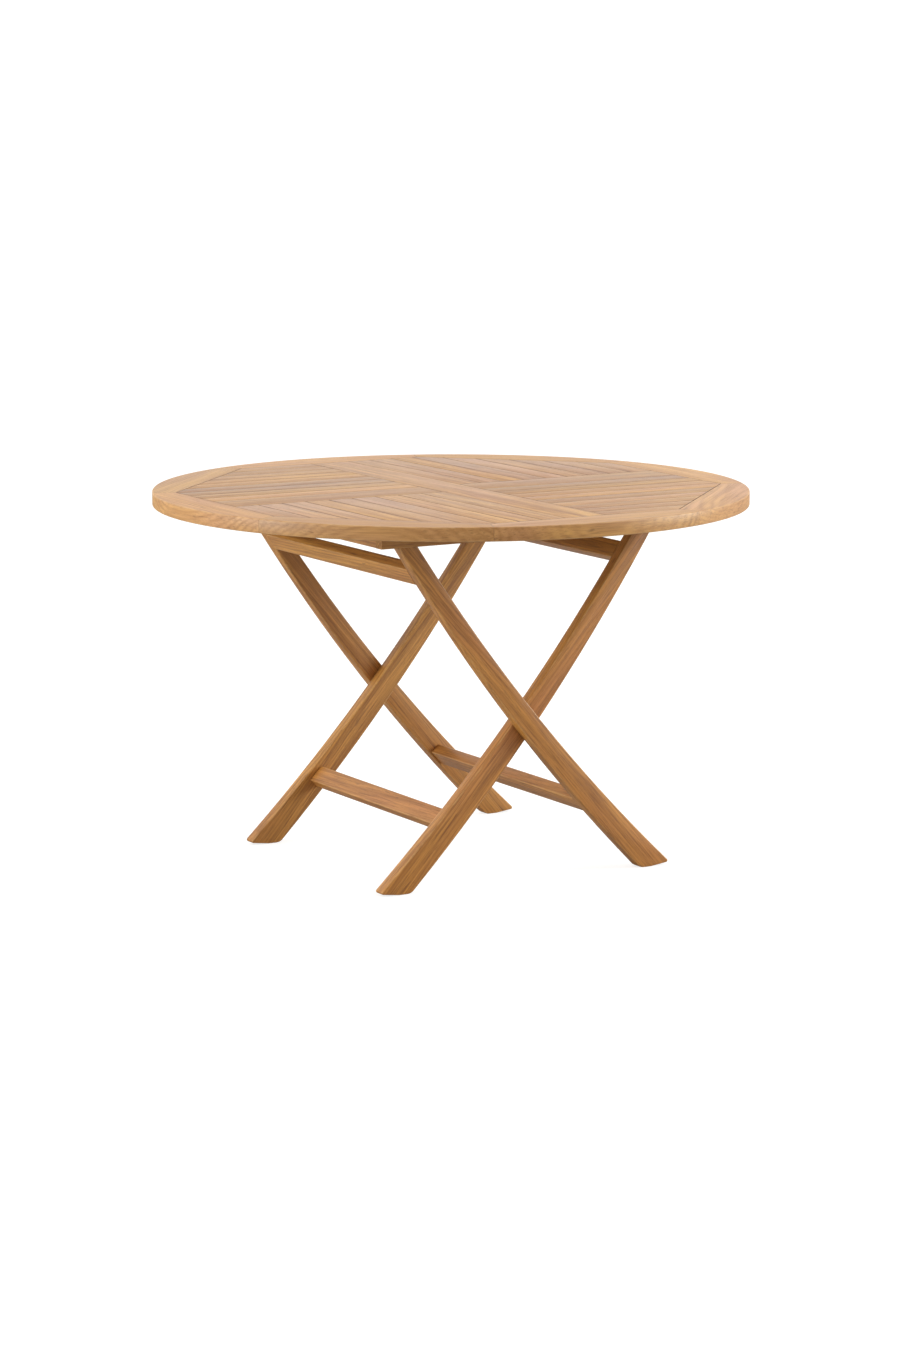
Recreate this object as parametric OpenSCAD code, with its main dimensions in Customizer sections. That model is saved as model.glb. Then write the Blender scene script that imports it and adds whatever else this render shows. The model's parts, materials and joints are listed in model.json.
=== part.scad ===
/* [Table top] */
// Diameter of the round top
top_d = 1200; // [960:10:1440]
// Height of the top's upper face above the ground
table_h = 750; // [620:5:900]
// Width of the rim at the middle of each straight inner side
rim_w = 88; // [60:1:120]
// Thickness of the rim
rim_t = 28; // [24:1:36]
// Thickness of the slats and cross boards
board_t = 20; // [16:1:24]
// Width of the cross boards
cross_w = 90; // [60:1:120]
// Number of slats in each quarter
slats_per_quarter = 9; // [9:1:11]
// Open gap between two slats
slat_gap = 2; // [1:0.5:4]
// Open gap between a slat's end and the board that holds it
end_gap = 1.5; // [0.5:0.5:3]
// Length of the tongues on the ends of slats and cross boards
tongue_l = 9; // [6:1:14]
// Thickness of the tongues
tongue_t = 7; // [5:0.5:8]

/* [Battens under the top] */
// Width of a batten
batten_w = 24; // [20:1:30]
// Height of a batten
batten_h = 40; // [32:1:48]
// Length of the two long battens past the stop batten
batten_spare = 14; // [0:1:30]

/* [Leg frames] */
// Width of the table over the outer faces of the outer legs
frame_w = 634; // [520:2:680]
// Thickness of a leg
leg_t = 27; // [22:1:33]
// Width of a leg at its upper end
leg_top_w = 34; // [30:0.5:40]
// Width of a leg at its foot
leg_foot_w = 53; // [44:0.5:62]
// How far a leg bows out from the straight line between its ends
leg_bow = 27; // [20:0.5:34]
// Distance from the middle of the table to the hinge axis
hinge_x = 295; // [270:1:320]
// Distance from the middle of the table to the middle of a foot
foot_x = 294; // [270:1:330]
// Flat part of a sole, next to the heel
sole_flat = 26; // [12:1:36]
// Slope of the rest of the sole, in degrees
sole_slope = 7; // [0:0.5:10]
// Radius of the rounded heel
heel_r = 20; // [4:1:26]
// Radius of the rounded toe
toe_r = 4; // [2:0.5:6]

/* [Rails] */
// Width of a rail, along the leg
rail_w = 38; // [30:1:44]
// Thickness of a rail
rail_t = 24; // [18:1:26]
// How far the outer frame's top rail lies below the hinge axis
outer_top_rail_drop = 89; // [60:1:150]
// Height of the outer frame's foot rail above the ground
outer_foot_rail_z = 131; // [110:1:170]
// How far the outer frame's foot rail sits in from the legs' lower edge
outer_foot_rail_inset = 5; // [0:0.5:8]
// How far the inner frame's top rail lies below the hinge axis
inner_top_rail_drop = 70; // [50:1:150]
// Height of the inner frame's foot rail above the ground
inner_foot_rail_z = 147; // [120:1:180]
// How far the inner frame's foot rail sits in from the legs' upper edge
inner_foot_rail_inset = 13; // [0:0.5:16]
// Shoulder left round each tenon
tenon_shoulder = 6; // [4:0.5:8]
// Length of each tenon
tenon_l = 19; // [12:1:20]

/* [Fittings] */
// Diameter of the hinge bolts and of the pivot pins
bolt_d = 10; // [8:0.5:12]
// Length of a bolt or pin inside its insert
bolt_grip = 17; // [12:0.5:18]
// Wall of the inserts
insert_wall = 2; // [1.5:0.25:3]
// Diameter of the hinge bolts' countersunk heads
bolt_head_d = 19; // [16:0.5:22]
// Length of a pivot pin inside the inner leg
pin_reach = 20; // [14:0.5:22]
// Running clearance round a bolt or pin, on the radius
bolt_clearance = 0.05; // [0.02:0.01:0.1]
// Outer diameter of the washers
washer_d = 24; // [22:0.5:28]
// Gap between two wooden faces that turn on each other
turn_gap = 2; // [1.5:0.25:3]
// Diameter of the wood screws in the battens
screw_d = 5; // [4:0.5:6]
// Diameter of the wood screws' heads
screw_head_d = 10; // [8:0.5:12]
// Length of the wood screws
screw_l = 54; // [48:1:58]

/* [Clearances] */
// Gap over a leg's rounded end and before the stop batten
leg_end_gap = 0.7; // [0.4:0.1:2]
// Saw kerf left open at each mitre of the rim
mitre_gap = 0.4; // [0.2:0.1:1]
// Room between a batten and the rim above it
notch_gap = 0.2; // [0.1:0.1:1]
// Free room round a tongue in its groove, on each side
groove_gap = 0.1; // [0.05:0.05:0.3]
// Gap on each side of a washer, past the end of a pin and round a countersunk head
washer_gap = 0.1; // [0.05:0.05:0.3]

/* [Hidden] */
$fn = 64;
arc_fn = 1440; // facets of the legs' large arcs
far = 2000; // reach of the shapes that only cut

top_r = top_d / 2;
octagon_a = top_r - rim_w; // apothem of the octagon inside the rim
board_z = table_h - board_t; // underside of the slats
batten_z = board_z - batten_h;
slat_pitch = (octagon_a - cross_w / 2) / slats_per_quarter;
own_slats = 6; // slats of each quarter that have a node of their own

leg_y = frame_w / 2 - leg_t / 2; // middle of an outer leg
inner_leg_y = leg_y - leg_t - turn_gap; // middle of an inner leg
long_batten_y = frame_w / 2 + turn_gap + batten_w / 2;
hinge_z = board_z - leg_end_gap - leg_top_w / 2;
stop_batten_x = hinge_x + leg_top_w / 2 + leg_end_gap + batten_w / 2;
batten_l = 2 * (stop_batten_x + batten_w / 2 + batten_spare);
hinge_batten_x = -batten_l / 2 + batten_w / 2;

// An arc from a to b that stands s off the straight line, with its centre on the left of that line
function left(v) = [-v[1], v[0]] / norm(v);
function arc_r(a, b, s) = (pow(norm(b - a), 2) / 4 + s * s) / (2 * s);
function arc_c(a, b, s) = (a + b) / 2 + left(b - a) * (arc_r(a, b, s) - s);

leg_head = [-hinge_x, hinge_z];
leg_foot = [foot_x, 0];
across = left(leg_foot - leg_head);
upper_a = leg_head + across * leg_top_w / 2;
upper_b = leg_foot + across * leg_foot_w / 2;
lower_a = leg_head - across * leg_top_w / 2;
lower_b = leg_foot - across * leg_foot_w / 2;
upper_c = arc_c(upper_a, upper_b, leg_bow);
upper_r = arc_r(upper_a, upper_b, leg_bow);
lower_c = arc_c(lower_a, lower_b, leg_bow);
lower_r = arc_r(lower_a, lower_b, leg_bow);
middle_c = arc_c(leg_head, leg_foot, leg_bow);
middle_r = arc_r(leg_head, leg_foot, leg_bow);
pivot_z = middle_c[1] - sqrt(pow(middle_r, 2) - pow(middle_c[0], 2));

// The point of a large arc at one height, and the angle from there to the arc's centre
function edge_at(c, r, z) = [c[0] - sqrt(r * r - pow(z - c[1], 2)), z];
function inward(c, p) = atan2(c[1] - p[1], c[0] - p[0]);

heel = edge_at(lower_c, lower_r, 0);
sole_end = [heel[0] + sole_flat, 0];
// Centres of the roundings, where each touches the sole and the leg's edge: heel first, then toe
heel_c = edge_at(lower_c, lower_r - heel_r, heel_r);
toe_line = [cos(sole_slope), sin(sole_slope)];
toe_start = sole_end + toe_r * left(toe_line) - upper_c;
toe_run = -toe_start * toe_line
    - sqrt(pow(toe_start * toe_line, 2) - toe_start * toe_start + pow(upper_r + toe_r, 2));
toe_c = upper_c + toe_start + toe_run * toe_line;

// Each quarter: its name, the signs of x and y, and whether its slats run along x
quarters = [
    ["front_left", -1, -1, false],
    ["front_right", 1, -1, true],
    ["back_right", 1, 1, false],
    ["back_left", -1, 1, true],
];
slat_middles = [for (i = [0:slats_per_quarter - 1]) cross_w / 2 + slat_pitch * (i + 0.5)];
long_spots = [for (s = [-1, 1], m = slat_middles) if (m < batten_l / 2 - screw_head_d) s * m];
short_spots = [for (s = [-1, 1], m = slat_middles) if (m < frame_w / 2 - screw_head_d) s * m];
batten_spots = concat(
    [for (y = [-long_batten_y, long_batten_y], x = concat(long_spots, [0])) [x, y]],
    [for (x = [hinge_batten_x, stop_batten_x], y = concat(short_spots, [0])) [x, y]]
);

// How far a point lies from the nearest gap between slats, and whether a screw there bites into wood
function slats_along_x(p) = p[0] * p[1] < 0;
function into_lane(v) = (v - cross_w / 2) % slat_pitch;
function from_gap(v) = min(into_lane(v), slat_pitch - into_lane(v));
function on_cross(p) = min(abs(p[0]), abs(p[1])) < cross_w / 2 - screw_d;
function in_octagon(p) = (abs(p[0]) + abs(p[1])) / sqrt(2) < octagon_a - screw_head_d
    && max(abs(p[0]), abs(p[1])) < octagon_a - screw_head_d;
function bites(p) = in_octagon(p) && (on_cross(p) || from_gap(abs(slats_along_x(p) ? p[1] : p[0])) > screw_d);
screw_spots = [for (p = batten_spots) if (bites(p)) p];

rim_nodes = [for (i = [1:8]) str("rim_segment_", i)];
slat_nodes = [for (q = quarters, i = [1:own_slats]) str("slat_", q[0], "_", i)];
end_slat_nodes = [for (q = quarters) str("end_slats_", q[0])];

// ---- Table top

module octagon(apothem) {
    rotate(22.5) circle(r = apothem / cos(22.5), $fn = 8);
}

// A flat board: its body, and a tongue layer that stands out of its ends at half thickness
module tongued_board() {
    translate([0, 0, board_z]) linear_extrude(board_t) children(0);
    translate([0, 0, board_z + (board_t - tongue_t) / 2]) linear_extrude(tongue_t) children(1);
}

// The layer in which the grooves lie
module groove_layer() {
    translate([0, 0, board_z + (board_t - tongue_t) / 2 - groove_gap])
        linear_extrude(tongue_t + 2 * groove_gap) children();
}

module pilot_holes(low, high) {
    for (p = screw_spots)
        if (p[0] > low[0] && p[0] < high[0] && p[1] > low[1] && p[1] < high[1])
            translate([p[0], p[1], batten_z]) cylinder(d = screw_d, h = screw_l);
}

module rim_segment(i) {
    reach = far / cos(22.5);
    color("burlywood") rotate(45 * (i - 1)) difference() {
        translate([0, 0, table_h - rim_t]) linear_extrude(rim_t) difference() {
            intersection() {
                circle(r = top_r, $fn = 360);
                translate([mitre_gap / 2 / sin(22.5), 0]) polygon([
                    [0, 0], reach * [cos(22.5), -sin(22.5)], reach * [cos(22.5), sin(22.5)]
                ]);
            }
            octagon(octagon_a);
        }
        groove_layer() octagon(octagon_a - end_gap + tongue_l + groove_gap);
        for (s = [-1, 1]) rotate(22.5 * s) spline_box(groove_gap);
    }
}

// A loose spline bridges each mitre, outside the groove
module spline_box(room) {
    vertex_r = octagon_a / cos(22.5);
    start_r = vertex_r + tongue_l + 2;
    spline_l = top_r - start_r - 8;
    spline_w = 36;
    translate([start_r - room, -spline_w / 2 - room, board_z + (board_t - tongue_t) / 2 - room])
        cube([spline_l + 2 * room, spline_w + 2 * room, tongue_t + 2 * room]);
}

module rim_splines() {
    color("peru") for (i = [1:8]) rotate(45 * i + 22.5) spline_box(0);
}

// The strip of one slat from its place beside the cross board, as a rectangle in its quarter
module slat_strip(q, i, end_room) {
    start = cross_w / 2 + slat_pitch * (i - 1) + slat_gap / 2;
    size = [slat_pitch - slat_gap, far];
    near = cross_w / 2 + end_room;
    if (q[3]) translate([near, start]) square([size[1], size[0]]);
    else translate([start, near]) square(size);
}

module slat(q, i) {
    side = cross_w / 2 + slat_pitch * (i - 1);
    lane = q[3] ? [[cross_w / 2, side], [octagon_a, side + slat_pitch]]
        : [[side, cross_w / 2], [side + slat_pitch, octagon_a]];
    xs = [q[1] * lane[0][0], q[1] * lane[1][0]];
    ys = [q[2] * lane[0][1], q[2] * lane[1][1]];
    color("tan") difference() {
        tongued_board() {
            intersection() {
                octagon(octagon_a - end_gap);
                scale([q[1], q[2]]) slat_strip(q, i, end_gap);
            }
            intersection() {
                octagon(octagon_a - end_gap + tongue_l);
                scale([q[1], q[2]]) slat_strip(q, i, end_gap - tongue_l);
            }
        }
        pilot_holes([min(xs), min(ys)], [max(xs), max(ys)]);
    }
}

module end_slats(q) {
    for (i = [own_slats + 1:slats_per_quarter]) slat(q, i);
}

module cross_board_long() {
    color("burlywood") difference() {
        tongued_board() {
            square([cross_w, 2 * (octagon_a - end_gap)], center = true);
            square([cross_w, 2 * (octagon_a - end_gap + tongue_l)], center = true);
        }
        groove_layer() difference() {
            square([2 * cross_w, 2 * octagon_a], center = true);
            square([cross_w + 2 * (end_gap - tongue_l - groove_gap), far], center = true);
        }
        pilot_holes([-cross_w, -far], [cross_w, far] / 2);
    }
}

module cross_board_half(s) {
    color("burlywood") difference() {
        tongued_board() {
            half_board_outline(s, cross_w / 2 + end_gap, octagon_a - end_gap);
            half_board_outline(s, cross_w / 2 + end_gap - tongue_l, octagon_a - end_gap + tongue_l);
        }
        groove_layer() for (t = [-1, 1])
            translate([s * octagon_a / 2, t * (cross_w / 2 + far / 2 + end_gap - tongue_l - groove_gap)])
                square([2 * top_d, far], center = true);
        pilot_holes([min(0, s * far), -cross_w / 2], [max(0, s * far), cross_w / 2]);
    }
}

module half_board_outline(s, from, to) {
    translate([s > 0 ? from : -to, -cross_w / 2]) square([to - from, cross_w]);
}

// ---- Battens

module long_batten(s) {
    color("peru") difference() {
        translate([-batten_l / 2, s * long_batten_y - batten_w / 2, batten_z])
            cube([batten_l, batten_w, batten_h]);
        screw_holes();
        rim_notch();
        insert_bore(s, frame_w / 2 + turn_gap, leg_head);
    }
}

module short_batten(x) {
    span = 2 * long_batten_y - batten_w;
    color("peru") difference() {
        translate([x - batten_w / 2, -span / 2, batten_z]) cube([batten_w, span, batten_h]);
        screw_holes();
        rim_notch();
    }
}

// Where a batten runs on under the rim, it is cut away to pass below it
module rim_notch() {
    translate([0, 0, table_h - rim_t - notch_gap]) linear_extrude(far) difference() {
        circle(r = far);
        octagon(octagon_a - notch_gap);
    }
}

module screw_shape() {
    head_h = (screw_head_d - screw_d) / 2;
    cylinder(d = screw_d, h = screw_l);
    cylinder(d1 = screw_head_d, d2 = screw_d, h = head_h);
}

module screw_holes() {
    for (p = screw_spots) translate([p[0], p[1], batten_z]) screw_shape();
}

module batten_screws() {
    color("silver") for (p = screw_spots) translate([p[0], p[1], batten_z]) screw_shape();
}

// ---- Leg frames

// Cuts a corner back to a circle of radius r round c, which touches its two sides at the angles a and b
module corner_cut(c, r, a, b) {
    mid = (a + b) / 2;
    difference() {
        polygon([c, c + 2 * r * [cos(a), sin(a)], c + 2 * r / cos(b - mid) * [cos(mid), sin(mid)],
            c + 2 * r * [cos(b), sin(b)]]);
        translate(c) circle(r = r);
    }
}

module leg_outline() {
    head_angle = inward(middle_c, leg_head);
    difference() {
        intersection() {
            translate(lower_c) circle(r = lower_r, $fn = arc_fn);
            translate(leg_head) rotate(head_angle) translate([-far / 2, -far]) square(far);
        }
        translate(upper_c) circle(r = upper_r, $fn = arc_fn);
        polygon([[-far, -far], [-far, 0], sole_end, sole_end + far * toe_line, [far, -far]]);
        corner_cut(heel_c, heel_r, inward(lower_c, heel_c) + 180, 270);
        corner_cut(toe_c, toe_r, 270 + sole_slope, inward(upper_c, toe_c) + 360);
    }
    translate(leg_head) circle(d = leg_top_w);
}

// A blind bore in a face at distance y0 from the middle, going outwards
module insert_bore(s, y0, at) {
    translate([at[0], s * y0, at[1]]) rotate([-90 * s, 0, 0])
        cylinder(d = bolt_d + 2 * insert_wall, h = bolt_grip);
}

module leg(y) {
    translate([0, y + leg_t / 2, 0]) rotate([90, 0, 0]) linear_extrude(leg_t) leg_outline();
}

module hinge_bore(s, y, room) {
    translate([leg_head[0], s * (y - leg_t / 2), leg_head[1]]) rotate([-90 * s, 0, 0]) {
        cylinder(d = bolt_d + 2 * room, h = leg_t);
        countersink(room);
    }
}

module countersink(room) {
    depth = (bolt_head_d - bolt_d) / 2;
    cylinder(d1 = bolt_head_d + 4 * room, d2 = bolt_d + 2 * room, h = depth + room);
}

// The blind bore in an inner leg's outer side that turns on the pivot pin
module pin_bore(s) {
    translate([0, s * (inner_leg_y + leg_t / 2), pivot_z]) rotate([90 * s, 0, 0])
        cylinder(d = bolt_d + 2 * bolt_clearance, h = pin_reach + washer_gap);
}

module outer_leg(s) {
    color("chocolate") difference() {
        leg(s * leg_y);
        hinge_bore(s, leg_y, bolt_clearance);
        insert_bore(s, leg_y - leg_t / 2, [0, pivot_z]);
        on_outer_top() tenons(outer_span);
        on_outer_foot() tenons(outer_span);
    }
}

module inner_leg(s) {
    color("chocolate") difference() {
        mirror([1, 0, 0]) leg(s * inner_leg_y);
        pin_bore(s);
        on_inner_top() tenons(inner_span);
        on_inner_foot() tenons(inner_span);
    }
}

// Places a rail with its side on a leg's edge: c and r are the edge's arc, side is 1 for the lower edge
module on_edge(c, r, z, side, inset) {
    p = edge_at(c, r, z);
    translate([p[0], 0, p[1]]) rotate([0, -inward(c, p), 0])
        translate([side * (inset + rail_t / 2), 0, 0]) children();
}

module on_outer_top() {
    on_edge(lower_c, lower_r, hinge_z - outer_top_rail_drop, 1, 0) children();
}

module on_outer_foot() {
    on_edge(lower_c, lower_r, outer_foot_rail_z, 1, outer_foot_rail_inset) children();
}

module on_inner_top() {
    mirror([1, 0, 0]) on_edge(upper_c, upper_r, hinge_z - inner_top_rail_drop, -1, 0) children();
}

module on_inner_foot() {
    mirror([1, 0, 0]) on_edge(upper_c, upper_r, inner_foot_rail_z, -1, inner_foot_rail_inset) children();
}

module tenons(span) {
    cube([rail_t - 2 * tenon_shoulder, span + 2 * tenon_l, rail_w - 2 * tenon_shoulder], center = true);
}

module rail(span) {
    color("sienna") {
        cube([rail_t, span, rail_w], center = true);
        tenons(span);
    }
}

outer_span = frame_w - 2 * leg_t;
inner_span = 2 * inner_leg_y - leg_t;

module outer_top_rail() {
    on_outer_top() rail(outer_span);
}

module outer_foot_rail() {
    on_outer_foot() rail(outer_span);
}

module inner_top_rail() {
    on_inner_top() rail(inner_span);
}

module inner_foot_rail() {
    on_inner_foot() rail(inner_span);
}

// ---- Bolts, pins, washers and inserts

module both_sides(y, at) {
    for (s = [-1, 1]) translate([at[0], s * y, at[1]]) rotate([-90 * s, 0, 0]) children();
}

module ring(outer_d, inner_d, h) {
    difference() {
        cylinder(d = outer_d, h = h);
        translate([0, 0, -h]) cylinder(d = inner_d, h = 3 * h);
    }
}

module hinge_bolts() {
    head_h = (bolt_head_d - bolt_d) / 2;
    color("silver") both_sides(leg_y - leg_t / 2, leg_head) {
        cylinder(d = bolt_d, h = leg_t + turn_gap + bolt_grip);
        cylinder(d1 = bolt_head_d, d2 = bolt_d, h = head_h);
    }
}

module hinge_washers() {
    color("gold") both_sides(frame_w / 2 + washer_gap, leg_head)
        ring(washer_d, bolt_d + 2 * washer_gap, turn_gap - 2 * washer_gap);
}

module hinge_inserts() {
    color("gold") both_sides(frame_w / 2 + turn_gap, leg_head)
        ring(bolt_d + 2 * insert_wall, bolt_d, bolt_grip);
}

module pivot_pins() {
    color("silver") both_sides(inner_leg_y + leg_t / 2 - pin_reach, [0, pivot_z])
        cylinder(d = bolt_d, h = pin_reach + turn_gap + bolt_grip);
}

module pivot_washers() {
    color("gold") both_sides(inner_leg_y + leg_t / 2 + washer_gap, [0, pivot_z])
        ring(washer_d, bolt_d + 2 * washer_gap, turn_gap - 2 * washer_gap);
}

module pivot_inserts() {
    color("gold") both_sides(leg_y - leg_t / 2, [0, pivot_z])
        ring(bolt_d + 2 * insert_wall, bolt_d, bolt_grip);
}

for (i = [1:8]) rim_segment(i);
for (q = quarters, i = [1:own_slats])
    slat(q, i);
for (q = quarters) end_slats(q);
rim_splines();
cross_board_long();
cross_board_half(-1);  // cross_board_left
cross_board_half(1);  // cross_board_right
long_batten(-1);  // long_batten_front
long_batten(1);  // long_batten_back
short_batten(hinge_batten_x);  // hinge_side_batten
short_batten(stop_batten_x);  // stop_batten
batten_screws();
hinge_bolts();
hinge_washers();
hinge_inserts();
outer_leg(-1);  // outer_leg_front
outer_leg(1);  // outer_leg_back
outer_top_rail();
outer_foot_rail();
inner_leg(-1);  // inner_leg_front
inner_leg(1);  // inner_leg_back
inner_top_rail();
inner_foot_rail();
pivot_pins();
pivot_washers();
pivot_inserts();
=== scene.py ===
import json
import math
import random

import bmesh
import bpy
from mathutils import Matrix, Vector

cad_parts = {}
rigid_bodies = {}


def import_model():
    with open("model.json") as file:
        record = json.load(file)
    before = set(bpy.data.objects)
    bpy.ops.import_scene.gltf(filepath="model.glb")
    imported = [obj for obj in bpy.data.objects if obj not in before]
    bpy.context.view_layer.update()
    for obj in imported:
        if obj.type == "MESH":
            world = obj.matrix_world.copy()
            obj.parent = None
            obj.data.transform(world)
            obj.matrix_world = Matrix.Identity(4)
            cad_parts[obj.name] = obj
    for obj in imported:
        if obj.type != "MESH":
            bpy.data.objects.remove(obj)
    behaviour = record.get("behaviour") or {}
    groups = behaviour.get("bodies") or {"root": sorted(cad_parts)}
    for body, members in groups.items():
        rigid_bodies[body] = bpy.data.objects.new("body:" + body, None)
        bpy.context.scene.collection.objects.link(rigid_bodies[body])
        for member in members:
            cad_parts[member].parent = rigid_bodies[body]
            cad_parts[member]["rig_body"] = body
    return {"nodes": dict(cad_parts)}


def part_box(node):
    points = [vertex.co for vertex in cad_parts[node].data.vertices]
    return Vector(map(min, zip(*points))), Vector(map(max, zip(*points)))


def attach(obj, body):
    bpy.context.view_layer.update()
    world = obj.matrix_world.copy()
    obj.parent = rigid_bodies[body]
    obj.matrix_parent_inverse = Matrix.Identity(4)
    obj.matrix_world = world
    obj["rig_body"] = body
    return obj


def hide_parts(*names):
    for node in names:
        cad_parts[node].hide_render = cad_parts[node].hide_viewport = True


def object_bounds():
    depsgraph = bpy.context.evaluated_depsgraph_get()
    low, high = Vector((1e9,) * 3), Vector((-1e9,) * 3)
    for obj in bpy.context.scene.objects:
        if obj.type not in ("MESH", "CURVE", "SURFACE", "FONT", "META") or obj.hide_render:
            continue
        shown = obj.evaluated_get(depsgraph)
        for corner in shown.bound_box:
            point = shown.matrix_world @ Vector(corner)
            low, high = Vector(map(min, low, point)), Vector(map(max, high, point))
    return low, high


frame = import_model()
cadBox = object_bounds()
nodes = frame["nodes"]
print("frame loaded with", len(nodes), "parts")

# where the pieces are, taken from the parts themselves
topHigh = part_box("rim_segment_1")[1].z
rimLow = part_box("rim_segment_1")[0].z
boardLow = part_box("slat_front_left_1")[0].z


# ---- studio

cameraSetup = {
    "aim": (0, 0, 0.4),
    "azimuth": -30.18,
    "elevation": 9.54,
    "distance": 7.889,
    "lens": 103.8,
    "shift": (-0.0007, -0.0112),
}


def addCamera():
    turn, rise = math.radians(cameraSetup["azimuth"]), math.radians(cameraSetup["elevation"])
    back = Vector((math.sin(turn) * math.cos(rise), -math.cos(turn) * math.cos(rise), math.sin(rise)))
    place = Vector(cameraSetup["aim"]) + back * cameraSetup["distance"]
    bpy.ops.object.camera_add(location=place, rotation=back.to_track_quat("Z", "Y").to_euler())
    camera = bpy.context.object
    camera.data.lens = cameraSetup["lens"]
    camera.data.shift_x, camera.data.shift_y = cameraSetup["shift"]
    bpy.context.scene.camera = camera


lightSetup = {
    # name: place, aim, size, watts, colour
    "sideLeft": ((-5.2, 1.0, 1.4), (0, 0, 0.5), 2.6, 185, (0.88, 0.975, 1.0)),
    "sideRight": ((4.9, -2.6, 2.0), (0, 0, 0.5), 3.2, 262, (0.89, 0.98, 1.0)),
    "overhead": ((0.6, 1.2, 5.5), (0, 0, 0.7), 5.0, 50, (1.0, 0.995, 0.985)),
}

worldSetup = {
    "colour": (1.0, 0.995, 0.985, 1),
    "frontColour": (1.0, 0.89, 0.72, 1),
    "side": 0.92,  # how bright the room is to both sides and above
    "back": 1.20,  # and behind the table, where a white wall shines on the wood at a low angle
    "front": 0.84,  # and on the camera's side
    "backFade": (-0.85, -0.1),  # from straight behind the table to the side of it
    "frontFade": (0.0, 0.9),  # and from the side to the camera
}

floorSetup = {"size": 600, "colour": (0.36, 0.355, 0.35, 1), "roughness": 0.9, "glow": 0.75}


def addLights():
    for name, (place, aim, size, watts, colour) in lightSetup.items():
        turned = (Vector(place) - Vector(aim)).to_track_quat("Z", "Y").to_euler()
        bpy.ops.object.light_add(type="AREA", location=place, rotation=turned)
        light = bpy.context.object
        light.name = name
        light.data.shape = "DISK"
        light.data.size = size
        light.data.energy = watts
        light.data.color = colour


def addWorld():
    world = bpy.data.worlds.new("studio")
    world.use_nodes = True
    bpy.context.scene.world = world
    tree = world.node_tree
    background = tree.nodes["Background"]
    turn = math.radians(cameraSetup["azimuth"])
    direction = addNode(tree, "ShaderNodeTexCoord").outputs["Generated"]
    facing = vectorMath(tree, "DOT_PRODUCT", direction, (math.sin(turn), -math.cos(turn), 0))
    backFade, frontFade = worldSetup["backFade"], worldSetup["frontFade"]
    behind = mapRange(tree, facing, *backFade, worldSetup["back"], worldSetup["side"], True)
    ahead = mapRange(tree, facing, *frontFade, 1.0, worldSetup["front"] / worldSetup["side"], True)
    level = calc(tree, "MULTIPLY", behind, ahead)
    towards = mapRange(tree, facing, *frontFade, 0.0, 1.0, True)
    colour = mixColour(tree, towards, worldSetup["colour"], worldSetup["frontColour"])
    tree.links.new(colour, background.inputs["Color"])
    tree.links.new(level, background.inputs["Strength"])


def addFloor():
    bpy.ops.mesh.primitive_plane_add(size=floorSetup["size"], location=(0, 0, 0))
    floor = bpy.context.object
    floor.name = "floor"
    floor.data.materials.append(floorPaint())


# ---- shader building blocks


def addNode(tree, kind, **settings):
    node = tree.nodes.new(kind)
    for key, value in settings.items():
        setattr(node, key, value)
    return node


def feed(tree, socket, value):
    if isinstance(value, bpy.types.NodeSocket):
        tree.links.new(value, socket)
    else:
        socket.default_value = value


def calc(tree, operation, a, b=0.0, c=0.0, clamp=False):
    node = addNode(tree, "ShaderNodeMath", operation=operation, use_clamp=clamp)
    for socket, value in zip(node.inputs, (a, b, c)):
        feed(tree, socket, value)
    return node.outputs[0]


def vectorMath(tree, operation, a, b=(0, 0, 0)):
    node = addNode(tree, "ShaderNodeVectorMath", operation=operation)
    feed(tree, node.inputs[0], a)
    feed(tree, node.inputs[1], b)
    return node.outputs["Value" if operation in ("DOT_PRODUCT", "LENGTH") else "Vector"]


def mapRange(tree, value, low, high, newLow, newHigh, smooth=False):
    node = addNode(tree, "ShaderNodeMapRange", interpolation_type="SMOOTHSTEP" if smooth else "LINEAR")
    for socket, number in zip(node.inputs, (value, low, high, newLow, newHigh)):
        feed(tree, socket, number)
    return node.outputs[0]


def noise(tree, vector, scale, detail=2.0, roughness=0.5, distortion=0.0):
    node = addNode(tree, "ShaderNodeTexNoise")
    feed(tree, node.inputs["Vector"], vector)
    node.inputs["Scale"].default_value = scale
    node.inputs["Detail"].default_value = detail
    node.inputs["Roughness"].default_value = roughness
    node.inputs["Distortion"].default_value = distortion
    return node.outputs[0]


def mixColour(tree, amount, a, b, blend="MIX"):
    node = addNode(tree, "ShaderNodeMix", data_type="RGBA", blend_type=blend)
    feed(tree, node.inputs[0], amount)
    feed(tree, node.inputs[6], a)
    feed(tree, node.inputs[7], b)
    return node.outputs[2]


def attribute(tree, name, output):
    return addNode(tree, "ShaderNodeAttribute", attribute_name=name).outputs[output]


def newGroup(name, inputs, outputs):
    tree = bpy.data.node_groups.new(name, "ShaderNodeTree")
    for label, kind in inputs:
        tree.interface.new_socket(label, in_out="INPUT", socket_type=kind)
    for label, kind in outputs:
        tree.interface.new_socket(label, in_out="OUTPUT", socket_type=kind)
    return tree, tree.nodes.new("NodeGroupInput").outputs, tree.nodes.new("NodeGroupOutput").inputs


def useGroup(tree, group, **values):
    node = addNode(tree, "ShaderNodeGroup", node_tree=group)
    for label, value in values.items():
        feed(tree, node.inputs[label], value)
    return node.outputs


def newMaterial(name):
    material = bpy.data.materials.new(name)
    material.use_nodes = True
    return material, material.node_tree, material.node_tree.nodes["Principled BSDF"]


def addBump(tree, shader, height, distance, strength=1.0):
    node = addNode(tree, "ShaderNodeBump")
    node.inputs["Strength"].default_value = strength
    node.inputs["Distance"].default_value = distance
    tree.links.new(height, node.inputs["Height"])
    tree.links.new(node.outputs[0], shader.inputs["Normal"])


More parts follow.
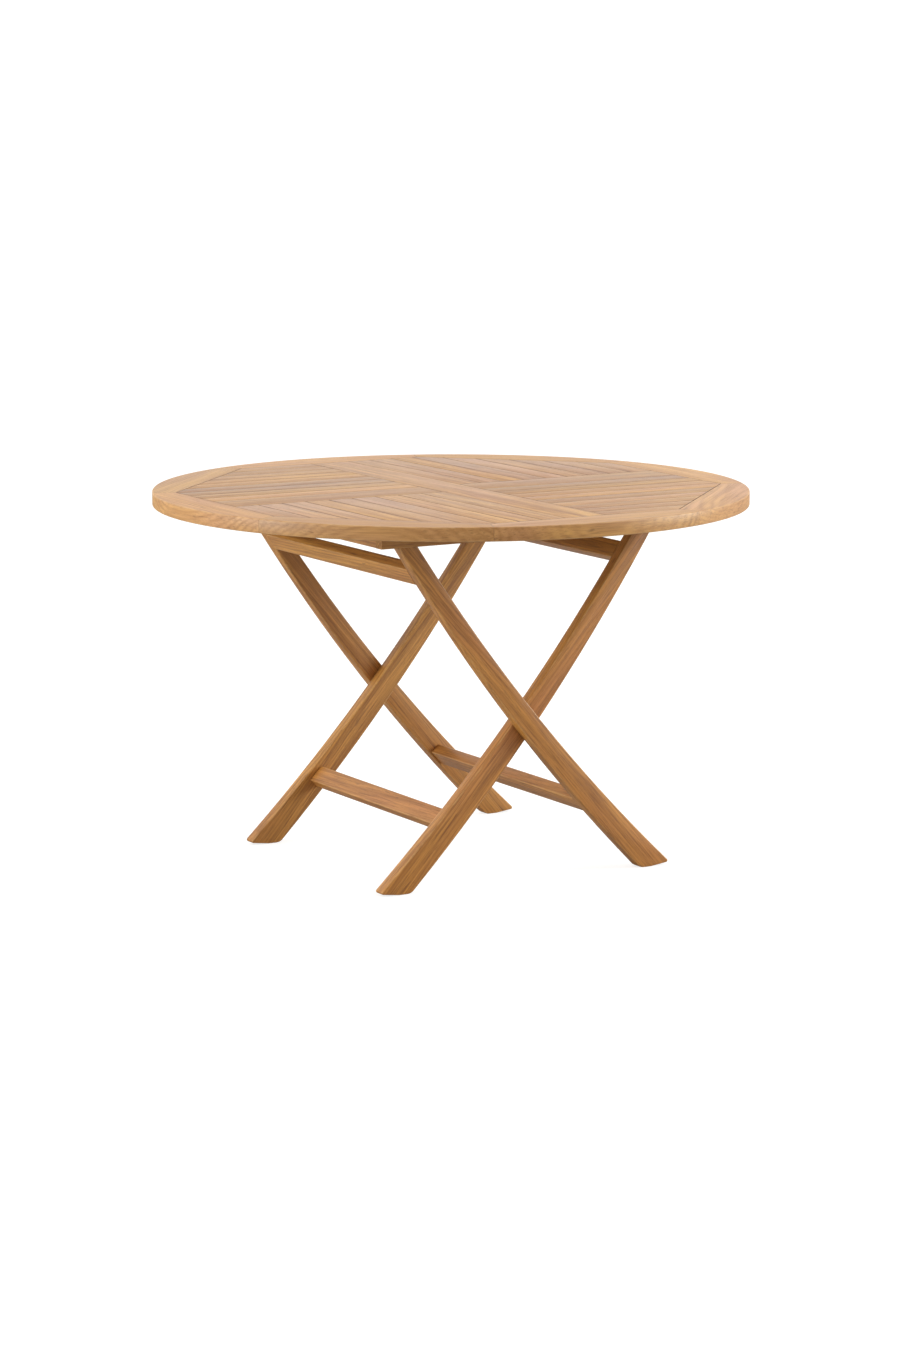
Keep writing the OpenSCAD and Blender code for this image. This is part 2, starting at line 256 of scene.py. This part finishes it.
figureSetup = {
    # how fine each mark is along, across and into the board
    "wander": (1.6, 9, 9),
    "ragged": (7, 150, 150),
    "years": (0.3, 22, 22),  # broad and narrow ones
    "fibre": (9, 420, 420),
    "streaks": (1.1, 92, 92),
    "pores": (48, 950, 950),
    "clouds": (3.2, 13, 13),
    "flecks": (17, 110, 110),
}


# the log that every board is cut from: rings round a pith, long fibres, open pores and darker streaks
def makeFigure():
    value, vector = "NodeSocketFloat", "NodeSocketVector"
    tree, given, out = newGroup(
        "teakFigure",
        [("grain", vector), ("ringWidth", value), ("wander", value)],
        [(label, value) for label in ("rings", "fibre", "streaks", "pores", "clouds", "flecks")],
    )
    grain = given["grain"]

    def drawn(mark):
        return vectorMath(tree, "MULTIPLY", grain, figureSetup[mark])

    slow = noise(tree, drawn("wander"), 1.0, 2.0)
    drift = calc(tree, "MULTIPLY", calc(tree, "SUBTRACT", slow, 0.5), given["wander"])
    radius = vectorMath(tree, "LENGTH", vectorMath(tree, "MULTIPLY", grain, (0, 1, 1)))
    turns = calc(tree, "DIVIDE", calc(tree, "ADD", radius, drift), given["ringWidth"])
    ragged = noise(tree, drawn("ragged"), 1.0, 2.0)
    turns = calc(tree, "MULTIPLY_ADD", ragged, 0.35, turns)
    uneven = noise(tree, drawn("years"), 1.0, 1.0)
    wave = calc(tree, "SINE", calc(tree, "MULTIPLY", turns, 2 * math.pi))
    late = calc(tree, "POWER", calc(tree, "MULTIPLY_ADD", wave, 0.5, 0.5), 1.7)
    feed(tree, out["rings"], calc(tree, "MULTIPLY", late, mapRange(tree, uneven, 0.35, 0.65, 0.35, 1.0)))
    feed(tree, out["fibre"], noise(tree, drawn("fibre"), 1.0, 3.0, 0.6))
    broad = noise(tree, drawn("streaks"), 1.0, 3.0, 0.6, 0.25)
    feed(tree, out["streaks"], mapRange(tree, broad, 0.34, 0.70, 0.0, 1.0, True))
    cells = addNode(tree, "ShaderNodeTexVoronoi")
    feed(tree, cells.inputs["Vector"], drawn("pores"))
    cells.inputs["Scale"].default_value = 1.0
    feed(tree, out["pores"], mapRange(tree, cells.outputs["Distance"], 0.12, 0.34, 1.0, 0.0, True))
    feed(tree, out["clouds"], noise(tree, drawn("clouds"), 1.0, 2.0))
    spots = noise(tree, drawn("flecks"), 1.0, 1.0, 0.4, 0.8)
    feed(tree, out["flecks"], mapRange(tree, spots, 0.68, 0.8, 0.0, 1.0, True))
    return tree


# rubbed, paler arrises, a little uneven along their length
def makeEdgeWear():
    value, colour, vector = "NodeSocketFloat", "NodeSocketColor", "NodeSocketVector"
    tree, given, out = newGroup(
        "edgeWear",
        [("colour", colour), ("bare", colour), ("edge", value), ("place", vector), ("amount", value)],
        [("colour", colour), ("mask", value)],
    )
    patches = noise(tree, given["place"], 38.0, 3.0)
    worn = calc(tree, "MULTIPLY", given["edge"], mapRange(tree, patches, 0.32, 0.62, 0.25, 1.0, True))
    mask = calc(tree, "MULTIPLY", worn, given["amount"], clamp=True)
    feed(tree, out["colour"], mixColour(tree, mask, given["colour"], given["bare"]))
    feed(tree, out["mask"], mask)
    return tree


teakSetup = {
    # pale: early wood, deep: late wood, vein: dark streaks
    # gold and rose: the drifts of colour along a board, bare: the rubbed arrises
    "teakBoards": {
        "pale": (0.50, 0.262, 0.096, 1), "deep": (0.28, 0.120, 0.036, 1), "vein": (0.12, 0.046, 0.015, 1),
        "gold": (0.56, 0.306, 0.092, 1), "rose": (0.42, 0.212, 0.112, 1), "bare": (0.58, 0.36, 0.18, 1),
        "ringWidth": 0.0062, "wander": 0.045, "rings": 0.58, "streaks": 0.85, "fibre": 0.95, "pores": 0.35,
        "roughness": 0.47, "wear": 0.15, "bump": 0.6,
    },
    "teakRim": {
        "pale": (0.54, 0.282, 0.094, 1), "deep": (0.31, 0.132, 0.036, 1), "vein": (0.13, 0.050, 0.015, 1),
        "gold": (0.60, 0.328, 0.096, 1), "rose": (0.48, 0.238, 0.102, 1), "bare": (0.59, 0.37, 0.18, 1),
        "ringWidth": 0.0068, "wander": 0.05, "rings": 0.72, "streaks": 0.50, "fibre": 0.60, "pores": 0.20,
        "roughness": 0.47, "wear": 0.35, "bump": 0.3,
    },
    "teakBatten": {
        "pale": (0.55, 0.252, 0.066, 1), "deep": (0.31, 0.118, 0.026, 1), "vein": (0.14, 0.048, 0.013, 1),
        "gold": (0.58, 0.28, 0.065, 1), "rose": (0.49, 0.21, 0.068, 1), "bare": (0.60, 0.36, 0.15, 1),
        "ringWidth": 0.0065, "wander": 0.05, "rings": 0.6, "streaks": 0.6, "fibre": 0.8, "pores": 0.35,
        "roughness": 0.52, "wear": 0.3, "bump": 0.6,
    },
    "teakFrame": {
        "pale": (0.56, 0.247, 0.055, 1), "deep": (0.28, 0.104, 0.020, 1), "vein": (0.12, 0.042, 0.012, 1),
        "gold": (0.61, 0.282, 0.056, 1), "rose": (0.49, 0.200, 0.055, 1), "bare": (0.62, 0.36, 0.14, 1),
        "ringWidth": 0.0075, "wander": 0.06, "rings": 0.60, "streaks": 0.72, "fibre": 0.9, "pores": 0.35,
        "roughness": 0.47, "wear": 0.45, "bump": 0.6,
    },
}

oilSetup = {
    "joint": (0.03, 0.012, 0.005, 1),  # painted shade in a joint, together with the oil and dust gathered there
    "drift": 0.13,  # how far a board's warmth moves its colour
    "flecks": 0.5,
    "darkest": 0.80,  # board, against the mean
    "lightest": 1.20,
    # what each adds to the roughness
    "roughFibre": 0.16,
    "roughWarmth": 0.06,
    "roughPores": 0.1,
    "roughWear": 0.08,
    # and to the height
    "heightPores": -0.5,
    "heightRings": 0.25,
    "relief": 0.00022,
}


def makeTeak(name, figure, edgeWear):
    look = teakSetup[name]
    material, tree, shader = newMaterial(name)
    grain = attribute(tree, "grain", "Vector")
    tone = attribute(tree, "tone", "Fac")
    cut = useGroup(tree, figure, grain=grain, ringWidth=look["ringWidth"], wander=look["wander"])
    warmth = attribute(tree, "warmth", "Fac")
    drift = calc(tree, "MULTIPLY_ADD", warmth, oilSetup["drift"], cut["clouds"])
    early = mixColour(tree, mapRange(tree, drift, 0.30, 0.50, 0.0, 1.0), look["rose"], look["pale"])
    early = mixColour(tree, mapRange(tree, drift, 0.50, 0.70, 0.0, 1.0), early, look["gold"])
    wood = mixColour(tree, calc(tree, "MULTIPLY", cut["rings"], look["rings"]), early, look["deep"])
    wood = mixColour(tree, calc(tree, "MULTIPLY", cut["streaks"], look["streaks"]), wood, look["deep"])
    wood = mixColour(tree, mapRange(tree, cut["fibre"], 0.50, 0.80, 0.0, look["fibre"]), wood, look["vein"])
    wood = mixColour(tree, calc(tree, "MULTIPLY", cut["pores"], look["pores"]), wood, look["vein"])
    wood = mixColour(tree, calc(tree, "MULTIPLY", cut["flecks"], oilSetup["flecks"]), wood, look["vein"])
    lift = mapRange(tree, tone, -1.0, 1.0, oilSetup["darkest"], oilSetup["lightest"])
    grey = addNode(tree, "ShaderNodeCombineColor")
    for socket in grey.inputs[:3]:
        tree.links.new(lift, socket)
    wood = mixColour(tree, 1.0, wood, grey.outputs[0], "MULTIPLY")
    # painted shade in the joints, together with the oil and dust gathered there
    wood = mixColour(tree, attribute(tree, "recess", "Fac"), wood, oilSetup["joint"])
    worn = useGroup(tree, edgeWear, colour=wood, bare=look["bare"], edge=attribute(tree, "edge", "Fac"),
                    place=grain, amount=look["wear"])
    tree.links.new(worn["colour"], shader.inputs["Base Color"])
    least = look["roughness"] - oilSetup["roughFibre"] / 2
    rough = calc(tree, "MULTIPLY_ADD", cut["fibre"], oilSetup["roughFibre"], least)
    rough = calc(tree, "MULTIPLY_ADD", warmth, oilSetup["roughWarmth"], rough)
    rough = calc(tree, "MULTIPLY_ADD", cut["pores"], oilSetup["roughPores"], rough)
    rough = calc(tree, "MULTIPLY_ADD", worn["mask"], oilSetup["roughWear"], rough)
    tree.links.new(rough, shader.inputs["Roughness"])
    height = calc(tree, "MULTIPLY_ADD", cut["pores"], oilSetup["heightPores"], cut["fibre"])
    height = calc(tree, "MULTIPLY_ADD", cut["rings"], oilSetup["heightRings"], height)
    addBump(tree, shader, height, oilSetup["relief"], look["bump"])
    return material


metalSetup = {
    "steel": {
        "bright": (0.60, 0.60, 0.59, 1), "dull": (0.36, 0.35, 0.34, 1), "bare": (0.72, 0.72, 0.71, 1),
        "roughness": 0.30, "wear": 0.6,
    },
    "brass": {
        "bright": (0.66, 0.47, 0.20, 1), "dull": (0.34, 0.21, 0.085, 1), "bare": (0.80, 0.62, 0.30, 1),
        "roughness": 0.34, "wear": 0.6,
    },
}


def makeMetal(name, edgeWear):
    look = metalSetup[name]
    material, tree, shader = newMaterial(name)
    place = addNode(tree, "ShaderNodeTexCoord").outputs["Object"]
    tarnish = mapRange(tree, noise(tree, place, 90.0, 4.0, 0.6), 0.38, 0.66, 0.0, 1.0, True)
    brushed = noise(tree, vectorMath(tree, "MULTIPLY", place, (900, 140, 900)), 1.0, 2.0)
    skin = mixColour(tree, tarnish, look["bright"], look["dull"])
    worn = useGroup(tree, edgeWear, colour=skin, bare=look["bare"], edge=attribute(tree, "edge", "Fac"),
                    place=place, amount=look["wear"])
    tree.links.new(worn["colour"], shader.inputs["Base Color"])
    shader.inputs["Metallic"].default_value = 1.0
    rough = calc(tree, "MULTIPLY_ADD", tarnish, 0.18, look["roughness"])
    tree.links.new(calc(tree, "MULTIPLY_ADD", brushed, 0.12, rough), shader.inputs["Roughness"])
    addBump(tree, shader, brushed, 0.00004, 0.5)
    return material


def floorPaint():
    material, tree, shader = newMaterial("floorPaint")
    place = addNode(tree, "ShaderNodeTexCoord").outputs["Object"]
    light, dark = floorSetup["colour"], tuple(c * 0.985 for c in floorSetup["colour"][:3]) + (1,)
    tree.links.new(mixColour(tree, noise(tree, place, 1.5, 3.0), light, dark), shader.inputs["Base Color"])
    shader.inputs["Roughness"].default_value = floorSetup["roughness"]
    shader.inputs["Emission Color"].default_value = (1, 1, 1, 1)
    # clear from below, to show the table's underside
    under = addNode(tree, "ShaderNodeNewGeometry").outputs["Backfacing"]
    tree.links.new(calc(tree, "SUBTRACT", 1.0, under), shader.inputs["Alpha"])
    # white to the eye, softer as a bounce
    seen = addNode(tree, "ShaderNodeLightPath").outputs["Is Camera Ray"]
    tree.links.new(calc(tree, "MULTIPLY", seen, floorSetup["glow"]), shader.inputs["Emission Strength"])
    return material


# ---- working on a piece

meshSetup = {
    "merge": 0.00001,  # corners nearer than this are one
    "level": 0.00005,  # how far a corner may be off a height and still lie at it
    "flat": 0.1,  # degrees between two triangles of one flat face
    "sharp": 40,  # degrees from which an outer edge is an arris
    "hollow": 8,  # and from which an inner edge bounds a hollow
    "smooth": 35,  # degrees up to which the shading runs on
    "parallel": 0.99,  # cosine from which two directions count as the same
    "upright": 0.95,  # a face that turns upwards less than this is a side
}


def workOn(piece):
    if bpy.context.mode != "OBJECT":
        bpy.ops.object.mode_set(mode="OBJECT")
    bpy.ops.object.select_all(action="DESELECT")
    piece.select_set(True)
    bpy.context.view_layer.objects.active = piece


# a new piece with the part's own mesh, its triangles merged back into whole faces
def takePart(part, piece):
    source = nodes[part]
    made = bpy.data.objects.new(piece, source.data.copy())
    bpy.context.scene.collection.objects.link(made)
    made.data.name = piece
    made.data.materials.clear()
    workOn(made)
    bpy.ops.mesh.customdata_custom_splitnormals_clear()
    made.data.attributes.new("edge", "FLOAT", "FACE")
    bpy.ops.object.mode_set(mode="EDIT")
    bpy.ops.mesh.select_all(action="SELECT")
    bpy.ops.mesh.remove_doubles(threshold=meshSetup["merge"])
    bpy.ops.mesh.dissolve_limited(angle_limit=math.radians(meshSetup["flat"]))
    bpy.ops.mesh.select_mode(type="EDGE")
    bpy.ops.mesh.select_all(action="DESELECT")
    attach(made, source["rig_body"])
    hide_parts(part)
    return made


# selects the edges for which the test holds, and says how many there were
def pickEdges(piece, test):
    bpy.ops.mesh.select_all(action="DESELECT")
    mesh = bmesh.from_edit_mesh(piece.data)
    found = [edge for edge in mesh.edges if len(edge.link_faces) == 2 and test(edge)]
    for edge in found:
        edge.select_set(True)
    mesh.select_flush_mode()
    bmesh.update_edit_mesh(piece.data)
    return len(found)


# rounds the picked edges and marks the new faces as worn arrises
def easeEdges(piece, width, steps):
    bpy.ops.mesh.bevel(offset=width, segments=steps, profile=0.5, affect="EDGES", clamp_overlap=False)
    mesh = bmesh.from_edit_mesh(piece.data)
    edge = mesh.faces.layers.float["edge"]
    for face in mesh.faces:
        if face.select:
            face[edge] = 1.0
    bmesh.update_edit_mesh(piece.data)


def isSharp(edge):
    return edge.is_convex and edge.calc_face_angle(0) > math.radians(meshSetup["sharp"])


def runsAlong(edge, way):
    line = (edge.verts[0].co - edge.verts[1].co).normalized()
    return abs(line.dot(Vector(way))) > meshSetup["parallel"]


# true for the wall of a bore, groove or mortise, which the rounding leaves alone
def isHollow(face):
    least = math.radians(meshSetup["hollow"])
    return any(not edge.is_convex and edge.calc_face_angle(0) > least for edge in face.edges)


def outerEdge(edge):
    return isSharp(edge) and not any(isHollow(face) for face in edge.link_faces)


# true where a flat face at one of these heights meets a side
def atHeight(*heights):
    def test(edge):
        level = any(all(abs(v.co.z - h) < meshSetup["level"] for v in edge.verts) for h in heights)
        flat = [abs(face.normal.z) > meshSetup["parallel"] for face in edge.link_faces]
        return level and sorted(flat) == [False, True] and isSharp(edge)
    return test


# lays the wood's own directions into the mesh, so that the figure follows each board
def cutFromLog(piece, along, face, seed, cut):
    picker = random.Random(seed)
    along = Vector(along).normalized()
    face = Vector(face).normalized()
    across = face.cross(along)
    mesh = piece.data
    middle = sum((v.co for v in mesh.vertices), Vector()) / len(mesh.vertices)
    start = Vector((picker.uniform(-6, 6), picker.choice((-1, 1)) * picker.uniform(*cut["side"]),
                    picker.uniform(*cut["depth"])))
    leanAcross = math.tan(math.radians(picker.uniform(-1, 1) * cut["lean"]))
    leanDeep = math.tan(math.radians(picker.uniform(-1, 1) * cut["lean"]))
    grain = mesh.attributes.new("grain", "FLOAT_VECTOR", "POINT")
    values = []
    for vertex in mesh.vertices:
        p = vertex.co - middle
        u = p.dot(along)
        values.append(u + start.x)
        values.append(p.dot(across) + u * leanAcross + start.y)
        values.append(p.dot(face) + u * leanDeep + start.z)
    grain.data.foreach_set("vector", values)
    shade = picker.uniform(-1, 1) * cut["shade"]
    tone = mesh.attributes.new("tone", "FLOAT", "POINT")
    tone.data.foreach_set("value", [shade] * len(mesh.vertices))
    warmth = mesh.attributes.new("warmth", "FLOAT", "POINT")
    warmth.data.foreach_set("value", [picker.uniform(-1, 1)] * len(mesh.vertices))


def isUpright(face):
    return abs(face.normal.z) < meshSetup["upright"]


# the faces beside a joint, where the finish gathers and shade falls: painted shade and gathered finish,
# dark on its walls and less so on the eased arris
def markJointShadeAndOil(piece, test, wall, arris):
    recess = piece.data.attributes.new("recess", "FLOAT", "FACE")
    edge = piece.data.attributes["edge"].data
    recess.data.foreach_set("value", [(arris if edge[face.index].value > 0.5 else wall) * test(face)
                                      for face in piece.data.polygons])


def finishPiece(piece, material):
    workOn(piece)
    bpy.ops.object.shade_smooth_by_angle(angle=math.radians(meshSetup["smooth"]))
    piece.data.materials.append(material)


# ---- the materials and the room

figure = makeFigure()
edgeWear = makeEdgeWear()
teak = {name: makeTeak(name, figure, edgeWear) for name in teakSetup}
metal = {name: makeMetal(name, edgeWear) for name in metalSetup}
bpy.ops.object.select_all(action="DESELECT")
addCamera()
addLights()
addWorld()
addFloor()
bpy.context.scene.view_settings.view_transform = "Standard"
print("materials, camera and studio ready")


# ---- table top

boardSetup = {
    "ease": 0.0007,
    "steps": 2,
    "wall": 0.92,  # how dark the painted shade and gathered finish make the joint walls and arrises
    "arris": 0.55,
    "cut": {"side": (0.02, 0.35), "depth": (0.03, 0.25), "lean": 1.0, "shade": 1.0},
}

rimSetup = {
    "count": 8,
    "arcSlack": 0.001,  # an edge this near the full radius is on the outer arc
    "arcDeep": 0.004,  # and a face this far inside it is in a joint
    "round": 0.0022,  # the outer arris, top and bottom
    "roundSteps": 3,
    "ease": 0.00045,
    "steps": 1,
    # how dark the painted shade and gathered finish make the mitre joint walls and arrises
    "wall": 0.92,
    "arris": 0.55,
    "cut": {"side": (0.05, 0.3), "depth": (0.05, 0.25), "lean": 0.8, "shade": 0.6},
}


def makeBoard(part, along, seed):
    piece = takePart(part, part + "_board")
    pickEdges(piece, atHeight(topHigh, boardLow))
    easeEdges(piece, boardSetup["ease"], boardSetup["steps"])
    workOn(piece)
    # painted shade and gathered finish on the walls and arrises of the gaps between boards
    markJointShadeAndOil(piece, isUpright, boardSetup["wall"], boardSetup["arris"])
    cutFromLog(piece, along, (0, 0, 1), seed, boardSetup["cut"])
    finishPiece(piece, teak["teakBoards"])


def makeRim(number, seed):
    part = "rim_segment_%d" % number
    piece = takePart(part, part + "_arc")
    middle = math.radians(360 / rimSetup["count"] * (number - 1))
    reach = cadBox[1][0]

    flatEdge = atHeight(topHigh, rimLow)

    def onArc(edge):
        return flatEdge(edge) and all(v.co.xy.length > reach - rimSetup["arcSlack"] for v in edge.verts)

    def inJoint(face):
        inside = face.center.xy.length < reach - rimSetup["arcDeep"]
        return inside and isUpright(face)

    pickEdges(piece, onArc)
    easeEdges(piece, rimSetup["round"], rimSetup["roundSteps"])
    pickEdges(piece, flatEdge)
    easeEdges(piece, rimSetup["ease"], rimSetup["steps"])
    workOn(piece)
    # painted shade and gathered finish on the walls and arrises of the mitre joints
    markJointShadeAndOil(piece, inJoint, rimSetup["wall"], rimSetup["arris"])
    cutFromLog(piece, (-math.sin(middle), math.cos(middle), 0), (0, 0, 1), seed, rimSetup["cut"])
    finishPiece(piece, teak["teakRim"])


lengthways, crossways = (0, 1, 0), (1, 0, 0)
quarters = {
    "front_left": lengthways,
    "front_right": crossways,
    "back_right": lengthways,
    "back_left": crossways,
}
crossBoards = {  # which way each runs, and its seed
    "cross_board_long": (lengthways, 144),
    "cross_board_left": (crossways, 158),
    "cross_board_right": (crossways, 154),
}
slatSeed, rimSeed = 101, 201
for quarter, along in quarters.items():
    slats = sorted(name for name in nodes if name.startswith("slat_" + quarter))
    for part in slats + ["end_slats_" + quarter]:
        makeBoard(part, along, slatSeed)
        slatSeed += 1
for part, (along, seed) in crossBoards.items():
    makeBoard(part, along, seed)
print("boards done")
for number in range(1, rimSetup["count"] + 1):
    makeRim(number, rimSeed)
    rimSeed += 1
print("rim done")


# ---- battens under the top

battenSetup = {
    "ease": 0.0016,
    "steps": 2,
    "leastEdge": 0.02,  # shorter edges belong to notches and stay sharp
    "cut": {"side": (0.03, 0.3), "depth": (0.03, 0.2), "lean": 2.0, "shade": 0.5},
}


def makeBatten(part, along, seed):
    piece = takePart(part, part + "_planed")
    along = Vector(along)
    pickEdges(piece, lambda edge: isSharp(edge) and runsAlong(edge, along)
              and edge.calc_length() > battenSetup["leastEdge"])
    easeEdges(piece, battenSetup["ease"], battenSetup["steps"])
    workOn(piece)
    cutFromLog(piece, along, (0, 0, 1), seed, battenSetup["cut"])
    finishPiece(piece, teak["teakBatten"])


battens = {
    "long_batten_front": (crossways, 301),
    "long_batten_back": (crossways, 302),
    "hinge_side_batten": (lengthways, 303),
    "stop_batten": (lengthways, 304),
}
for part, (along, seed) in battens.items():
    makeBatten(part, along, seed)
splineSeed = 305
splines = takePart("rim_splines", "rim_splines_cut")
workOn(splines)
cutFromLog(splines, (0, 0, 1), (1, 0, 0), splineSeed, battenSetup["cut"])
finishPiece(splines, teak["teakBatten"])
print("battens done")


# ---- legs and rails

legSetup = {
    "ease": 0.0022,
    "steps": 3,
    "cut": {"side": (0.04, 0.2), "depth": (0.02, 0.16), "lean": 1.5, "shade": 0.3},
}
railSetup = {
    "ease": 0.0018,
    "steps": 3,
    "cut": {"side": (0.04, 0.2), "depth": (0.02, 0.16), "lean": 1.5, "shade": 0.4},
}


def makeLeg(part, seed):
    piece = takePart(part, part + "_shaped")
    low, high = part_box(part)
    fall = -1 if part.startswith("outer") else 1  # which way the leg leans
    pickEdges(piece, outerEdge)
    easeEdges(piece, legSetup["ease"], legSetup["steps"])
    workOn(piece)
    cutFromLog(piece, (fall * (high.x - low.x), 0, high.z - low.z), (0, 1, 0), seed, legSetup["cut"])
    finishPiece(piece, teak["teakFrame"])


def makeRail(part, seed):
    piece = takePart(part, part + "_planed")
    pickEdges(piece, lambda edge: outerEdge(edge) and runsAlong(edge, lengthways))
    easeEdges(piece, railSetup["ease"], railSetup["steps"])
    workOn(piece)
    cutFromLog(piece, (0, 1, 0), (1, 0, 1), seed, railSetup["cut"])
    finishPiece(piece, teak["teakFrame"])


legSeeds = {
    "outer_leg_front": 401,
    "outer_leg_back": 402,
    "inner_leg_front": 403,
    "inner_leg_back": 404,
}
railSeeds = {
    "outer_top_rail": 411,
    "outer_foot_rail": 412,
    "inner_top_rail": 413,
    "inner_foot_rail": 162,
}
for part, seed in legSeeds.items():
    makeLeg(part, seed)
for part, seed in railSeeds.items():
    makeRail(part, seed)
print("legs and rails done")


# ---- fittings

fittingSetup = {
    "brass": {"ease": 0.0003, "steps": 2},
    "steel": {"ease": 0.0002, "steps": 2},
    "screwHead": 0.005,  # radius of a head
    "boltHead": 0.0095,
    "headFit": (0.8, 1.1),  # how near a face has to come to that radius to be a head
    "headFacing": 0.999,
    "crossSlot": {"wide": 0.0012, "long": 0.0052, "deep": 0.0018},  # in the heads of the screws
    "hexSocket": {"flats": 0.006, "deep": 0.0032},  # in the heads of the hinge bolts
}


def makeTurned(part, material, slot):
    piece = takePart(part, part + "_turned")
    pickEdges(piece, isSharp)
    easeEdges(piece, fittingSetup[slot]["ease"], fittingSetup[slot]["steps"])
    finishPiece(piece, material)
    return piece


# the middle of every flat, round head of about this radius that faces the given way
def headSpots(piece, facing, radius):
    least, most = (radius * fit for fit in fittingSetup["headFit"])
    spots = []
    for face in piece.data.polygons:
        wide = max((piece.data.vertices[i].co - face.center).length for i in face.vertices)
        if face.normal.dot(facing) > fittingSetup["headFacing"] and least < wide < most:
            spots.append(face.center.copy())
    return spots


def crossCutter():
    look = fittingSetup["crossSlot"]
    bpy.ops.mesh.primitive_cube_add(size=look["wide"])
    cutter = bpy.context.object
    bpy.ops.object.mode_set(mode="EDIT")
    bpy.ops.mesh.select_mode(type="FACE")
    bpy.ops.mesh.select_all(action="DESELECT")
    mesh = bmesh.from_edit_mesh(cutter.data)
    for face in mesh.faces:
        face.select_set(abs(face.normal.z) < 0.5)
    bmesh.update_edit_mesh(cutter.data)
    arm = (look["long"] - look["wide"]) / 2
    bpy.ops.mesh.extrude_faces_move(TRANSFORM_OT_shrink_fatten={"value": arm})
    bpy.ops.object.mode_set(mode="OBJECT")
    cutter.scale.z = 2 * look["deep"] / look["wide"]
    bpy.ops.object.transform_apply(location=False, rotation=False, scale=True)
    return cutter


def hexCutter():
    look = fittingSetup["hexSocket"]
    bpy.ops.mesh.primitive_cylinder_add(vertices=6, radius=look["flats"] / math.sqrt(3),
                                        depth=2 * look["deep"], rotation=(math.pi / 2, 0, 0))
    cutter = bpy.context.object
    bpy.ops.object.transform_apply(location=False, rotation=True, scale=False)
    return cutter


# sinks a copy of the cutter into the piece at every spot
def sinkRecess(piece, cutter, spots):
    copies = [cutter]
    for spot in spots[1:]:
        workOn(cutter)
        bpy.ops.object.duplicate()
        bpy.context.object.location = spot
        copies.append(bpy.context.object)
    cutter.location = spots[0]
    bpy.ops.object.select_all(action="DESELECT")
    for copy in copies:
        copy.select_set(True)
    bpy.context.view_layer.objects.active = cutter
    if len(copies) > 1:
        bpy.ops.object.join()
    workOn(piece)
    cut = piece.modifiers.new("recess", "BOOLEAN")
    cut.operation = "DIFFERENCE"
    cut.solver = "EXACT"
    cut.object = cutter
    bpy.ops.object.modifier_apply(modifier=cut.name)
    workOn(cutter)
    bpy.ops.object.delete()


for part in ("hinge_washers", "pivot_washers", "hinge_inserts", "pivot_inserts"):
    makeTurned(part, metal["brass"], "brass")
makeTurned("pivot_pins", metal["steel"], "steel")
screws = makeTurned("batten_screws", metal["steel"], "steel")
heads = headSpots(screws, Vector((0, 0, -1)), fittingSetup["screwHead"])
print("screw heads", len(heads))
sinkRecess(screws, crossCutter(), heads)
bolts = makeTurned("hinge_bolts", metal["steel"], "steel")
heads = [spot for way in (-1, 1)
         for spot in headSpots(bolts, Vector((0, way, 0)), fittingSetup["boltHead"])]
print("bolt heads", len(heads))
sinkRecess(bolts, hexCutter(), heads)
print("fittings done")
